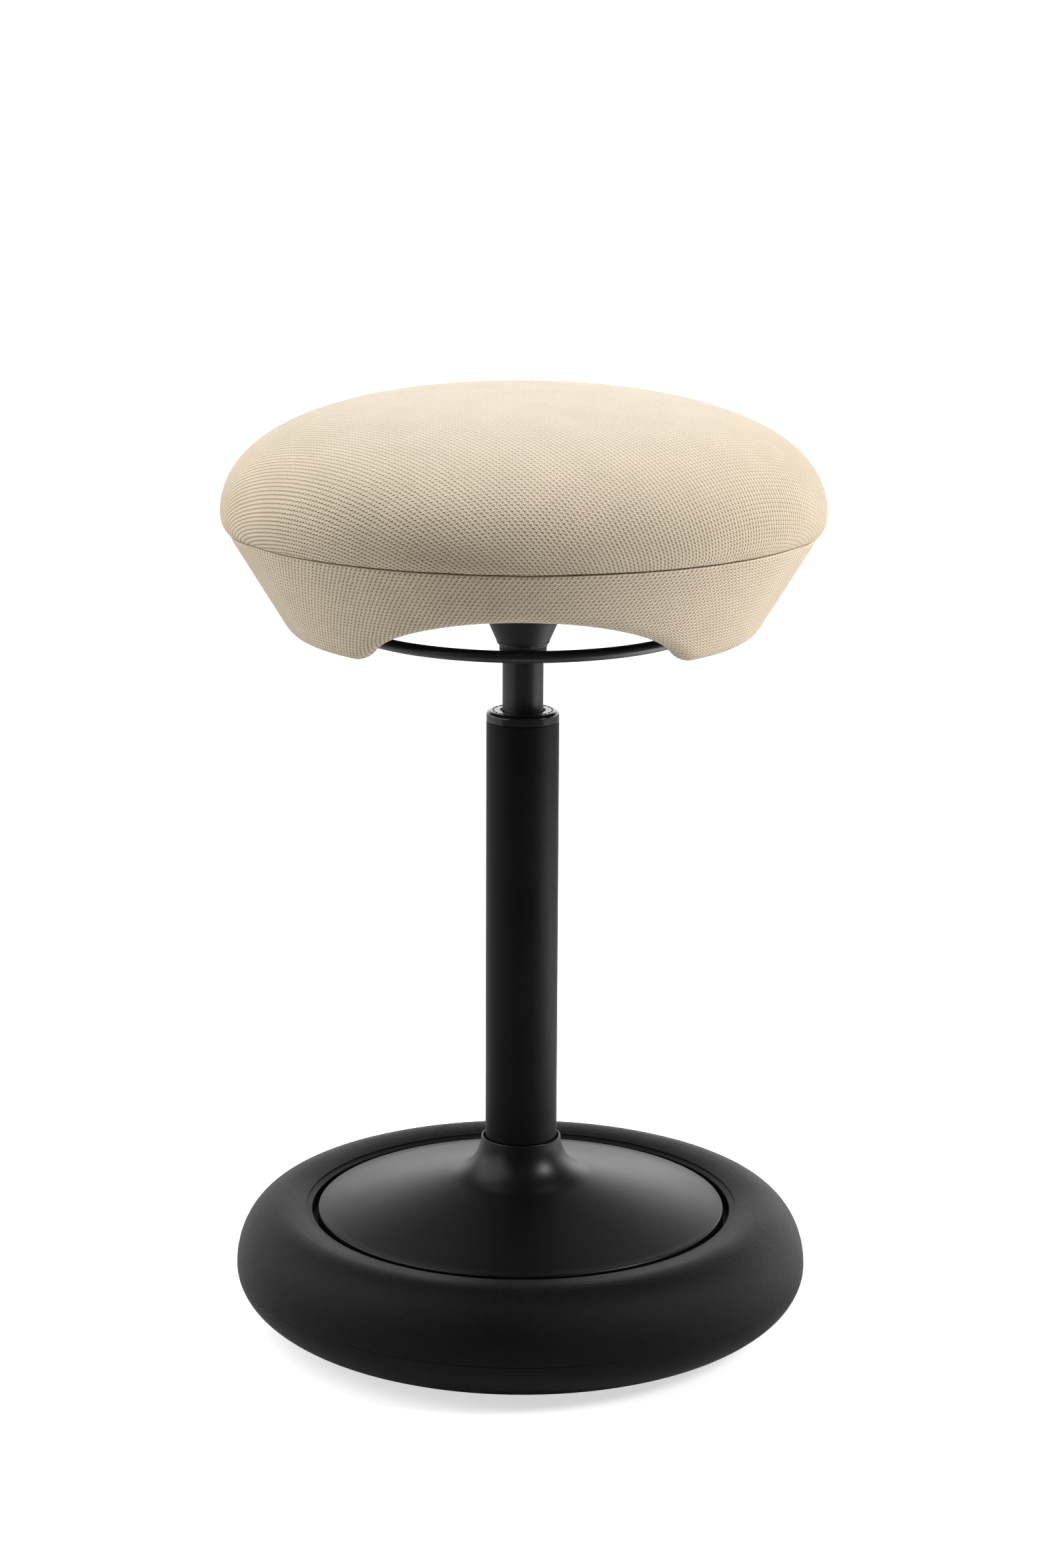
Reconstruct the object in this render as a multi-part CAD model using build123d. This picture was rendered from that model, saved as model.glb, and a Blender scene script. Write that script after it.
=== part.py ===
from build123d import *
import os
from math import cos, radians, sin

# Sit-stand stool with a ring lever.  Millimetres, standing on z = 0, axis on Z, front towards -Y.

# Clearances
running_gap = 0.06       # shaft in its bore, on the radius
seat_gap = 0.02          # tapered and pressed seats, on the radius
fit_gap = 0.2            # pieces that are set into one another
body_gap = 0.3           # faces that pass each other

# Foot ring: a thick moulded ring on a sole that is slightly convex
foot_radius = 200.0
equator_height = 41.2
crest_radius = 167.0
crest_height = 84.1
lip_inset = 15.8         # lip inside the crest
lip_drop = 2.9           # lip below the crest
ledge_width = 4.4
ledge_drop = 0.8
ledge_step = 0.7
ledge_edge = 0.6         # broken edge above the gap round the cover
shelf_height = 70.0
shelf_width = 10.8
sole_turn_radius = 140.0
sole_rise = 2.0
sole_flat_radius = 122.0
sole_hole_radius = 95.0
web_thickness = 14.0
parting_drop = 2.9       # parting line below the widest place
parting_depth = 0.5
parting_width = 1.0

# Steel plate in the foot ring, its screws and the column's socket
base_plate_thickness = 8.0
base_screw_count = 6
base_screw_circle = 108.0
base_screw_radius = 3.0
base_screw_head_radius = 5.5
base_screw_head_height = 3.5
base_screw_recess = 6.0
base_screw_drive = 2.0   # radius and depth of the hexagon
socket_height = 80.0
socket_wall = 7.0
socket_flange_width = 12.0
socket_flange_height = 6.0

# Trumpet-shaped cover
cover_wall = 1.6
cover_rim_gap = 4.2
cover_rim_round = 1.6
cover_rim_sink = 0.6     # rim below the foot ring's lip
cover_neck_height = 50.2
cover_neck_spread = 2.4  # how far out the neck leans before its curve
cover_flare_drop = 26.9  # height over which the neck turns outwards
cover_flare_reach = 35.7  # how far out the neck's curve reaches
cover_disc_rise = 9.8    # pull of the disc's slope above the rim
collar_gap = 1.1

# Column
tube_radius = 25.0
tube_wall = 2.0
tube_top = 429.0
tube_bottom = 36.0
tube_edge = 0.6          # chamfer at the tube's mouth
tube_floor_thickness = 4.0
taper_slope = 0.025      # radius lost per millimetre of height
tube_taper_length = 64.0
bush_length = 85.0
bush_rim_height = 7.0
bush_rim_round = 2.4
bush_rim_run = 3.6       # how far in the rounding reaches
bush_mouth = 1.7         # width and depth of the recess round the pressure tube

# Thrust bearing and buffer at the foot of the column
race_thickness = 2.0
race_radius = 16.0
ball_radius = 2.0
ball_count = 12
ball_circle = 11.0
cage_thickness = 1.6
cage_width = 5.6
buffer_height = 12.0
buffer_radius = 17.0
buffer_waist = 2.0
clip_thickness = 1.6
clip_radius = 8.0
clip_groove = 0.8
clip_mouth = 5.2

# Gas lift
stroke = 260.0
cylinder_radius = 14.0
cylinder_wall = 1.5
cylinder_end_thickness = 4.0
rod_radius = 5.0
stud_radius = 4.0
stud_tail = 3.0
rod_guide_length = 14.0
rod_seal_height = 4.0
piston_height = 10.0
piston_seal_height = 3.0
piston_seal_depth = 2.0
valve_length = 32.0
valve_depth = 44.0       # top of the valve body below the top of the cylinder
pin_radius = 3.0
pin_stand = 4.0          # pin above the cylinder's top
pin_dome = 1.0

# Hub under the seat
exposed_length = 40.8    # cylinder seen between bush and sleeve at the lowest position
sleeve_radius = 16.2
sleeve_length = 31.0
sleeve_chamfer = 1.0
hub_taper_length = 42.0
cylinder_proud = 4.2     # cylinder above the sleeve's top
cone_start = 7.6         # lower edge of the cone above the sleeve's lower end
cone_wall = 2.5
cone_rim_width = 2.0     # cone's lower edge beyond the sleeve
cone_top_radius = 42.0
bead_height = 3.6
bead_belly = 0.5         # bead beyond a flat bevel
window_width = 14.0
window_height = 16.0
window_drop = 1.0        # window's middle below the release plate's

# Ring lever
lever_radius = 118.3
lever_bar_radius = 4.0
spoke_radius = 3.2
lever_rise = 19.2        # bar's centre above the sleeve's lower end
pivot_offset = 20.0      # fulcrum in front of the axis
pivot_rise = 5.8         # fulcrum above the release plate's underside
fulcrum_radius = 2.5
fulcrum_length = 28.0
knuckle_radius = 4.5
knuckle_length = 17.0
release_thickness = 3.0
release_half_length = 24.0
release_front = 14.0
release_back = 9.0
pin_play = 0.2           # release plate above the pin
ear_thickness = 3.0
ear_half_width = 4.5
bracket_base = 3.0

# Seat structure
panel_thickness = 2.0
panel_play = 0.7         # panel above the top of the arches
panel_room = 6.5         # from the panel up to the seat plate
panel_hole_gap = 5.0
panel_screw_count = 6
panel_screw_circle = 138.0
panel_screw_radius = 2.0
panel_screw_head_radius = 4.0
panel_screw_head_height = 2.2
panel_screw_bite = 8.0
panel_boss_radius = 6.0
seat_plate_thickness = 3.5
seat_plate_side = 176.0
seat_plate_corner = 22.0
bolt_spacing = 124.0
bolt_radius = 4.0
bolt_head_radius = 7.0
bolt_head_height = 4.5
bolt_drive = 3.0         # radius and depth of the hexagon
tee_barrel_radius = 5.2
tee_flange_radius = 11.0
tee_flange_thickness = 1.5
board_thickness = 12.0

# Padding
fabric = 2.0             # thickness of the covers
fabric_gap = 0.15        # cover to padding
skirt_rise = 14.7        # hem above the sleeve's lower end
skirt_height = 68.0
skirt_low_radius = 155.7
seam_radius = 198.0
skirt_wall = 18.0        # measured level
arch_rise = 37.3         # top of the arches above the hem
arch_half_width = 108.0
arch_depth = 46.3
arch_corner_round = 9.0
hem_round = 5.0
seat_overhang = 6.3      # cushion beyond the seam
widest_rise = 15.0       # widest place above the seam
crown_rise = 96.0        # top of the cushion above the seam
crown_reach = 160.0      # how far the flat of the crown reaches out
side_reach = 39.0        # how far the upright side reaches up
cushion_tuck = 6.0       # cushion's edge drawn in to the seam

# Places that follow from the sizes
lip_radius = crest_radius - lip_inset
lip_height = crest_height - lip_drop
ledge_radius = lip_radius - ledge_width
parting_height = equator_height - parting_drop
foot_bore_radius = ledge_radius - shelf_width
base_plate_top = web_thickness + base_plate_thickness
cover_radius = ledge_radius - cover_rim_gap
cover_rim_height = lip_height - cover_rim_sink
collar_radius = tube_radius + collar_gap + cover_wall
collar_height = cover_rim_height + cover_neck_height

tube_bore = tube_radius - tube_wall
tube_taper_top = tube_bottom + tube_taper_length
tube_taper_loss = taper_slope * tube_taper_length
floor_top = tube_bottom + tube_floor_thickness
ball_height = floor_top + race_thickness + ball_radius
upper_race_low = floor_top + race_thickness + 2 * ball_radius
upper_race_top = upper_race_low + race_thickness
buffer_top = upper_race_top + buffer_height

bush_top = tube_top + bush_rim_height
sleeve_low = bush_top + exposed_length
sleeve_top = sleeve_low + sleeve_length
cylinder_low = buffer_top + body_gap
cylinder_top = sleeve_top + cylinder_proud
cylinder_bore = cylinder_radius - cylinder_wall
hub_taper_low = cylinder_top - hub_taper_length
piston_low = cylinder_low + stroke + rod_guide_length + rod_seal_height + body_gap
valve_top = cylinder_top - valve_depth
pin_top = cylinder_top + pin_stand

seat_radius = seam_radius + seat_overhang
skirt_low = sleeve_low + skirt_rise
seam_height = skirt_low + skirt_height
skirt_slope = (seam_radius - skirt_low_radius) / skirt_height
arch_top = skirt_low + arch_rise
panel_low = arch_top + panel_play
panel_top = panel_low + panel_thickness
seat_plate_low = panel_top + panel_room
board_low = seat_plate_low + seat_plate_thickness
board_top = board_low + board_thickness
board_radius = seam_radius - (seam_height - board_top) * skirt_slope - skirt_wall

cone_low = sleeve_low + cone_start
cone_low_radius = sleeve_radius + cone_rim_width
cone_slope = (cone_top_radius - cone_low_radius) / (seat_plate_low - cone_low)
cone_level_wall = cone_wall * (1 + cone_slope**2) ** 0.5

lever_height = sleeve_low + lever_rise
release_low = pin_top + pin_play
release_middle = release_low + release_thickness / 2
pivot_height = release_low + pivot_rise

UPRIGHT = (Align.CENTER, Align.CENTER, Align.MIN)


def turned(outline):
    """Solid of revolution about the column's axis, from an outline of radius and height."""
    return revolve(make_face(Plane.XZ * outline), Axis.Z)


def turned_points(*points):
    return turned(Polyline(*points, close=True))


def washer(outer, inner, low, high):
    return turned_points((inner, low), (outer, low), (outer, high), (inner, high))


def post(radius, low, high, x=0.0, y=0.0):
    return Pos(x, y, low) * Cylinder(radius, high - low, align=UPRIGHT)


def on_circle(radius, count, first=0.0):
    """Plan positions spaced evenly on a circle."""
    angles = [radians(first + 360 * i / count) for i in range(count)]
    return [(radius * cos(a), radius * sin(a)) for a in angles]


def cone_radius(height):
    """Outer radius of the hub cone."""
    return cone_low_radius + cone_slope * (height - cone_low)


def hub_taper_radius(height):
    """Radius of the tapered top of the gas cylinder."""
    return cylinder_radius - taper_slope * max(0.0, height - hub_taper_low)


def skirt_radius(height):
    """Outer radius of the skirt."""
    return seam_radius - skirt_slope * (seam_height - height)


# Base

def foot_ring():
    ledge_height = lip_height - ledge_step - ledge_drop
    outline = Curve() + [
        Line((sole_hole_radius, 0), (sole_flat_radius, 0)),
        Line((sole_flat_radius, 0), (sole_turn_radius, sole_rise)),
        EllipticalCenterArc(
            (sole_turn_radius, equator_height),
            foot_radius - sole_turn_radius,
            equator_height - sole_rise,
            start_angle=270,
            arc_size=90,
        ),
        EllipticalCenterArc(
            (crest_radius, equator_height),
            foot_radius - crest_radius,
            crest_height - equator_height,
            start_angle=0,
            arc_size=90,
        ),
        TangentArc((crest_radius, crest_height), (lip_radius, lip_height), tangent=(-1, 0)),
        Polyline(
            (lip_radius, lip_height),
            (lip_radius, lip_height - ledge_step),
            (ledge_radius + ledge_edge, ledge_height),
            (ledge_radius, ledge_height - ledge_edge),
            (ledge_radius, shelf_height),
            (foot_bore_radius, shelf_height),
            (foot_bore_radius, web_thickness),
            (sole_hole_radius, web_thickness),
            (sole_hole_radius, 0),
        ),
    ]
    ring = turned(outline)
    ring -= turned_points(
        (foot_radius - parting_depth, parting_height),
        (foot_radius + parting_depth, parting_height - parting_width),
        (foot_radius + parting_depth, parting_height + parting_width),
    )
    for x, y in on_circle(base_screw_circle, base_screw_count):
        ring -= post(base_screw_radius + fit_gap, 0, web_thickness, x, y)
        ring -= post(base_screw_head_radius + fit_gap, 0, base_screw_recess, x, y)
    return ring


def base_plate():
    plate = washer(foot_bore_radius - fit_gap, tube_bore, web_thickness, base_plate_top)
    for x, y in on_circle(base_screw_circle, base_screw_count):
        plate -= post(base_screw_radius + seat_gap, web_thickness, base_plate_top, x, y)
    return plate


def base_screws():
    screws = []
    for x, y in on_circle(base_screw_circle, base_screw_count):
        head_low = base_screw_recess - base_screw_head_height
        head = post(base_screw_head_radius, head_low, base_screw_recess, x, y)
        drive = Pos(x, y, head_low) * extrude(RegularPolygon(base_screw_drive, 6), base_screw_drive)
        screws.append(head + post(base_screw_radius, base_screw_recess, base_plate_top, x, y) - drive)
    return screws


def column_socket():
    outer = tube_radius + socket_wall
    top = base_plate_top + socket_height
    low_bore = tube_radius - tube_taper_loss + seat_gap
    return turned_points(
        (low_bore, base_plate_top),
        (outer + socket_flange_width, base_plate_top),
        (outer + socket_flange_width, base_plate_top + socket_flange_height),
        (outer, base_plate_top + 2 * socket_flange_height),
        (outer, top),
        (tube_radius + seat_gap, top),
        (tube_radius + seat_gap, tube_taper_top),
        (low_bore, tube_bottom),
    )


def base_cover():
    """Trumpet of sheet: a collar round the tube flares into a shallow disc with a turned-down rim."""
    flare_low = collar_height - cover_flare_drop
    flare_out = cover_rim_height + cover_disc_rise
    flare_radius = collar_radius + cover_flare_reach
    disc_edge = cover_radius - cover_rim_round
    inner_radius = cover_radius - cover_wall
    rim_low = cover_rim_height - cover_rim_round
    outer_curve = Bezier(
        (collar_radius, collar_height),
        (collar_radius + cover_neck_spread, flare_low),
        (flare_radius, flare_out),
        (disc_edge, cover_rim_height),
    )
    inner_curve = Bezier(
        (inner_radius - cover_rim_round, cover_rim_height - cover_wall),
        (flare_radius - cover_wall / 2, flare_out - cover_wall),
        (collar_radius + cover_neck_spread - cover_wall, flare_low - cover_wall / 2),
        (collar_radius - cover_wall, collar_height),
    )
    outline = Curve() + [
        outer_curve,
        ThreePointArc(
            (disc_edge, cover_rim_height),
            (disc_edge + cover_rim_round * sin(radians(45)), rim_low + cover_rim_round * cos(radians(45))),
            (cover_radius, rim_low),
        ),
        Polyline(
            (cover_radius, rim_low),
            (cover_radius, shelf_height),
            (inner_radius, shelf_height),
            (inner_radius, rim_low - cover_wall),
            (inner_radius - cover_rim_round, cover_rim_height - cover_wall),
        ),
        inner_curve,
        ThreePointArc(
            (collar_radius - cover_wall, collar_height),
            (collar_radius - cover_wall / 2, collar_height + cover_wall / 2),
            (collar_radius, collar_height),
        ),
    ]
    return turned(outline)


def column_tube():
    return turned_points(
        (tube_radius - tube_taper_loss, tube_bottom),
        (tube_radius, tube_taper_top),
        (tube_radius, tube_top - tube_edge),
        (tube_radius - tube_edge, tube_top),
        (tube_bore, tube_top),
        (tube_bore, tube_taper_top),
        (tube_bore - tube_taper_loss, tube_bottom),
    )


def tube_floor():
    return washer(
        tube_bore - tube_taper_loss - seat_gap, stud_radius + running_gap, tube_bottom, floor_top
    )


def guide_bush():
    """Plastic sleeve in the tube's mouth with a rounded rim as wide as the tube."""
    bore = cylinder_radius + running_gap
    flat_radius = tube_radius - bush_rim_run
    outline = Curve() + [
        Polyline(
            (bore, tube_top - bush_length),
            (tube_bore - seat_gap, tube_top - bush_length),
            (tube_bore - seat_gap, tube_top),
            (tube_radius, tube_top),
            (tube_radius, bush_top - bush_rim_round),
        ),
        EllipticalCenterArc(
            (flat_radius, bush_top - bush_rim_round), bush_rim_run, bush_rim_round, arc_size=90
        ),
        Polyline(
            (flat_radius, bush_top),
            (bore + bush_mouth, bush_top),
            (bore + bush_mouth, bush_top - bush_mouth),
            (bore, bush_top - bush_mouth),
            (bore, tube_top - bush_length),
        ),
    ]
    return turned(outline)


# Thrust bearing

def lower_race():
    return washer(race_radius, stud_radius + running_gap, floor_top, floor_top + race_thickness)


def upper_race():
    return washer(race_radius, stud_radius + running_gap, upper_race_low, upper_race_top)


def bearing_balls():
    places = on_circle(ball_circle, ball_count)
    return [Pos(x, y, ball_height) * Sphere(ball_radius - seat_gap) for x, y in places]


def ball_cage():
    half = cage_thickness / 2
    cage = washer(
        ball_circle + cage_width / 2, ball_circle - cage_width / 2, ball_height - half, ball_height + half
    )
    for x, y in on_circle(ball_circle, ball_count):
        cage -= post(ball_radius + running_gap, ball_height - half, ball_height + half, x, y)
    return cage


def buffer():
    """Rubber stop with a waist."""
    low = upper_race_top
    middle = low + buffer_height / 2
    waist = ThreePointArc(
        (buffer_radius, low), (buffer_radius - buffer_waist, middle), (buffer_radius, buffer_top)
    )
    bore = rod_radius + running_gap
    outline = Curve() + [
        waist,
        Polyline((buffer_radius, buffer_top), (bore, buffer_top), (bore, low), (buffer_radius, low)),
    ]
    return turned(outline)


# Gas lift

def piston_rod():
    groove_top = tube_bottom - seat_gap
    groove_low = groove_top - clip_thickness - 2 * seat_gap
    groove_radius = stud_radius - clip_groove
    piston_top = piston_low + piston_height
    return turned_points(
        (0, groove_low - stud_tail),
        (stud_radius, groove_low - stud_tail),
        (stud_radius, groove_low),
        (groove_radius, groove_low),
        (groove_radius, groove_top),
        (stud_radius, groove_top),
        (stud_radius, upper_race_top),
        (rod_radius, upper_race_top),
        (rod_radius, piston_low),
        (stud_radius, piston_low),
        (stud_radius, piston_top),
        (0, piston_top),
    )


def rod_clip():
    """Open ring that holds the rod's stud under the column's floor."""
    top = tube_bottom - 2 * seat_gap
    low = top - clip_thickness
    inner = stud_radius - clip_groove + seat_gap
    ring = washer(clip_radius, inner, low, top)
    mouth = Pos(clip_radius / 2, 0, low) * Box(
        clip_radius, clip_mouth, clip_thickness, align=UPRIGHT
    )
    return ring - mouth


def piston():
    outer = cylinder_bore - running_gap
    middle = piston_low + piston_height / 2
    groove = piston_seal_height / 2
    return turned_points(
        (stud_radius + seat_gap, piston_low),
        (outer, piston_low),
        (outer, middle - groove),
        (outer - piston_seal_depth, middle - groove),
        (outer - piston_seal_depth, middle + groove),
        (outer, middle + groove),
        (outer, piston_low + piston_height),
        (stud_radius + seat_gap, piston_low + piston_height),
    )


def piston_seal():
    outer = cylinder_bore - running_gap
    middle = piston_low + piston_height / 2
    half = piston_seal_height / 2 - seat_gap
    return washer(outer, outer - piston_seal_depth + seat_gap, middle - half, middle + half)


def gas_cylinder():
    top_radius = hub_taper_radius(cylinder_top)
    end_low = cylinder_top - cylinder_end_thickness
    return turned_points(
        (cylinder_radius, cylinder_low),
        (cylinder_radius, hub_taper_low),
        (top_radius, cylinder_top),
        (pin_radius + running_gap, cylinder_top),
        (pin_radius + running_gap, end_low),
        (hub_taper_radius(end_low) - cylinder_wall, end_low),
        (cylinder_bore, hub_taper_low),
        (cylinder_bore, cylinder_low),
    )


def rod_guide():
    return washer(
        cylinder_bore - seat_gap, rod_radius + running_gap, cylinder_low, cylinder_low + rod_guide_length
    )


def rod_seal():
    low = cylinder_low + rod_guide_length
    return washer(cylinder_bore - seat_gap, rod_radius + running_gap, low, low + rod_seal_height)


def valve_body():
    return washer(
        cylinder_bore - seat_gap, pin_radius + running_gap, valve_top - valve_length, valve_top
    )


def valve_pin():
    low = valve_top - valve_length / 2
    outline = Curve() + [
        Polyline((0, pin_top), (0, low), (pin_radius, low), (pin_radius, pin_top - pin_dome)),
        Spline(
            (pin_radius, pin_top - pin_dome), (0, pin_top), tangents=((0, 1), (-1, 0))
        ),
    ]
    return turned(outline)


# Hub

def hub_sleeve():
    return turned_points(
        (hub_taper_radius(sleeve_low) + seat_gap, sleeve_low),
        (sleeve_radius - sleeve_chamfer, sleeve_low),
        (sleeve_radius, sleeve_low + sleeve_chamfer),
        (sleeve_radius, sleeve_top),
        (hub_taper_radius(sleeve_top) + seat_gap, sleeve_top),
    )


def hub_cone():
    """Sheet cone with a window on each side for the lever's spokes."""
    bore = sleeve_radius + seat_gap
    inner_start = cone_low + (bore + cone_level_wall - cone_low_radius) / cone_slope
    shell = turned_points(
        (bore, cone_low),
        (cone_low_radius, cone_low),
        (cone_top_radius, seat_plate_low),
        (cone_top_radius - cone_level_wall, seat_plate_low),
        (bore, inner_start),
    )
    window = Pos(0, 0, release_middle - window_drop) * Box(
        2 * cone_top_radius, window_width, window_height
    )
    return shell - window


def weld_bead():
    bore = sleeve_radius + seat_gap
    low = cone_low - bead_height
    outline = Curve() + [
        Polyline((bore, low), (bore, cone_low), (cone_low_radius, cone_low)),
        ThreePointArc(
            (cone_low_radius, cone_low),
            (bore + cone_rim_width / 2 + bead_belly, cone_low - bead_height / 2),
            (bore, low),
        ),
    ]
    return turned(outline)


# Ring lever

def lever_ring():
    return Pos(0, 0, lever_height) * Torus(lever_radius, lever_bar_radius)


def lever_spokes():
    """Two bars that rise from the ring to the release plate."""
    spokes = []
    for side in (-1, 1):
        ring_side = (side * (lever_radius - lever_bar_radius / 2), 0, lever_height)
        path = Line((side * release_half_length, 0, release_middle), ring_side)
        start = Plane(origin=path @ 0, z_dir=path % 0)
        bar = sweep(start * Circle(spoke_radius), path)
        reach = 2 * spoke_radius
        past = side * (release_half_length - reach / 2)
        plate_side = Pos(past, 0, release_middle) * Box(reach, 2 * reach, 2 * reach)
        spokes.append(bar - plate_side - lever_ring())
    return spokes


def release_plate():
    """Plate over the valve pin, with a knuckle on the fulcrum pin."""
    depth = release_front + release_back
    plate = Pos(0, (release_back - release_front) / 2, release_low) * Box(
        2 * release_half_length, depth, release_thickness, align=UPRIGHT
    )
    tongue_length = pivot_offset - release_front
    tongue = Pos(0, -release_front - tongue_length / 2, release_low) * Box(
        knuckle_length, tongue_length, release_thickness, align=UPRIGHT
    )
    across = Plane(origin=(0, -pivot_offset, pivot_height), z_dir=(1, 0, 0))
    knuckle = across * Cylinder(knuckle_radius, knuckle_length)
    bore = across * Cylinder(fulcrum_radius + running_gap, knuckle_length)
    return plate + tongue + knuckle - bore


def fulcrum_pin():
    across = Plane(origin=(0, -pivot_offset, pivot_height), z_dir=(1, 0, 0))
    return across * Cylinder(fulcrum_radius, fulcrum_length)


def fulcrum_bracket():
    """Two ears under the seat plate that hold the fulcrum pin."""
    inside = knuckle_length / 2 + body_gap
    outside = inside + ear_thickness
    base_low = seat_plate_low - bracket_base
    bracket = Pos(0, -pivot_offset, base_low) * Box(
        2 * outside, 2 * ear_half_width, bracket_base, align=UPRIGHT
    )
    across = Plane(origin=(0, -pivot_offset, pivot_height), z_dir=(1, 0, 0))
    for side in (-1, 1):
        middle = side * (inside + outside) / 2
        ear = Pos(middle, -pivot_offset, pivot_height) * Box(
            ear_thickness, 2 * ear_half_width, base_low - pivot_height, align=UPRIGHT
        )
        ear_axis = Plane(origin=(middle, -pivot_offset, pivot_height), z_dir=(1, 0, 0))
        ear_end = ear_axis * Cylinder(ear_half_width, ear_thickness)
        bracket += ear + ear_end
    return bracket - across * Cylinder(fulcrum_radius + seat_gap, fulcrum_length)


# Seat structure

def bolt_places():
    half = bolt_spacing / 2
    return [(x, y) for x in (-half, half) for y in (-half, half)]


def seat_plate():
    outline = RectangleRounded(seat_plate_side, seat_plate_side, seat_plate_corner)
    plate = Pos(0, 0, seat_plate_low) * extrude(outline, seat_plate_thickness)
    for x, y in bolt_places():
        plate -= post(bolt_radius + fit_gap, seat_plate_low, board_low, x, y)
    return plate


def seat_bolts():
    bolts = []
    for x, y in bolt_places():
        head = post(bolt_head_radius, seat_plate_low - bolt_head_height, seat_plate_low, x, y)
        shank = post(bolt_radius, seat_plate_low, board_top - tee_flange_thickness, x, y)
        drive = Pos(x, y, seat_plate_low - bolt_head_height) * extrude(
            RegularPolygon(bolt_drive, 6), bolt_drive
        )
        bolts.append(head + shank - drive)
    return bolts


def tee_nuts():
    nuts = []
    flange_low = board_top - tee_flange_thickness
    for x, y in bolt_places():
        nut = post(tee_barrel_radius, board_low, flange_low, x, y)
        nut += post(tee_flange_radius, flange_low, board_top, x, y)
        nuts.append(nut - post(bolt_radius + seat_gap, board_low, board_top, x, y))
    return nuts


def panel_screw_places():
    return on_circle(panel_screw_circle, panel_screw_count, 180 / panel_screw_count)


def seat_board():
    board = post(board_radius - fit_gap, board_low, board_top)
    for x, y in bolt_places():
        board -= post(tee_barrel_radius + seat_gap, board_low, board_top, x, y)
        board -= post(tee_flange_radius + fit_gap, board_top - tee_flange_thickness, board_top, x, y)
    for x, y in panel_screw_places():
        board -= post(panel_screw_radius + seat_gap, board_low, board_low + panel_screw_bite, x, y)
    return board


def under_panel():
    """Closing panel with bosses that stand against the board."""
    outer = skirt_radius(panel_low) - skirt_wall - body_gap
    hole = cone_radius(panel_top) + panel_hole_gap
    panel = washer(outer, hole, panel_low, panel_top)
    for x, y in panel_screw_places():
        panel += post(panel_boss_radius, panel_top, board_low, x, y)
    for x, y in panel_screw_places():
        panel -= post(panel_screw_radius + fit_gap, panel_low, board_low, x, y)
    return panel


def panel_screws():
    screws = []
    for x, y in panel_screw_places():
        head = post(panel_screw_head_radius, panel_low - panel_screw_head_height, panel_low, x, y)
        screws.append(head + post(panel_screw_radius, panel_low, board_low + panel_screw_bite, x, y))
    return screws


# Padding

def skirt_form(inset):
    """Tapered ring with an arch at the front and back, drawn in by an inset all round."""
    level_inset = inset * (1 + skirt_slope**2) ** 0.5
    below = skirt_low - hem_round
    hem = skirt_low + inset
    inner_low = skirt_radius(below) - skirt_wall + level_inset
    inner_high = skirt_radius(board_low) - skirt_wall + level_inset
    ring = turned_points(
        (inner_low, below),
        (skirt_radius(below) - level_inset, below),
        (seam_radius - level_inset, seam_height),
        (board_radius, seam_height),
        (board_radius, board_low),
        (inner_high, board_low),
    )
    arch = Pos(0, arch_top - arch_depth) * Ellipse(arch_half_width + inset, arch_depth + inset)
    floor = Pos(0, hem - arch_depth) * Rectangle(3 * seam_radius, 2 * arch_depth)
    cut = arch + floor
    inside = arch_half_width + inset
    corners = cut.vertices().filter_by(lambda v: abs(v.Y - hem) < seat_gap and abs(v.X) < inside)
    cut = fillet(corners, arch_corner_round - inset)
    ring -= extrude(Plane.XZ * cut, 2 * seam_radius, both=True)
    hem_edges = ring.edges().filter_by(lambda e: e.bounding_box().max.Z < panel_low)
    outline_edges = hem_edges.filter_by(lambda e: e.length > arch_rise)
    return fillet(outline_edges, hem_round - inset)


def skirt_cover():
    return skirt_form(0) - skirt_form(fabric)


def skirt_foam():
    return skirt_form(fabric + fabric_gap)


def cushion_form(inset):
    """Crowned cushion that overhangs the skirt and tucks in to the seam."""
    foot = board_radius - fit_gap - inset
    seam = seam_height + fit_gap + inset
    edge = seat_radius - cushion_tuck - inset / 2
    side = seat_radius - inset
    crown = seam_height + crown_rise - inset
    widest = seam_height + widest_rise
    outline = Curve() + [
        Polyline((0, crown), (0, board_top), (foot, board_top), (foot, seam), (edge, seam)),
        Bezier((edge, seam), (side, (seam + widest) / 2), (side, widest)),
        Bezier(
            (side, widest),
            (side, widest + side_reach - inset / 2),
            (crown_reach - inset / 2, crown),
            (0, crown),
        ),
    ]
    return turned(outline)


def cushion_cover():
    return cushion_form(0) - cushion_form(fabric)


def cushion_foam():
    return cushion_form(fabric + fabric_gap)


PIECES = [
    foot_ring, base_plate, base_screws, column_socket, base_cover, column_tube, tube_floor, guide_bush,
    lower_race, bearing_balls, ball_cage, upper_race, buffer,
    piston_rod, rod_clip, piston, piston_seal,
    gas_cylinder, rod_guide, rod_seal, valve_body, valve_pin,
    hub_sleeve, hub_cone, weld_bead,
    lever_ring, lever_spokes, release_plate, fulcrum_pin, fulcrum_bracket,
    seat_plate, seat_bolts, tee_nuts, seat_board, under_panel, panel_screws,
    skirt_cover, skirt_foam, cushion_cover, cushion_foam,
]

os.makedirs("parts", exist_ok=True)
for make in PIECES:
    shape = make()
    if isinstance(shape, list):
        shape = Compound(children=shape)
    export_step(shape, f"parts/{make.__name__}.step")
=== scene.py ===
"""Sit-stand stool: the looks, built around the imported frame.  Metres, +Z up, front towards -Y."""
from math import atan2, cos, pi, radians, sin, sqrt

import bmesh
import bpy
from mathutils import Matrix, Vector, noise
from mathutils.geometry import interpolate_bezier


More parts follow.
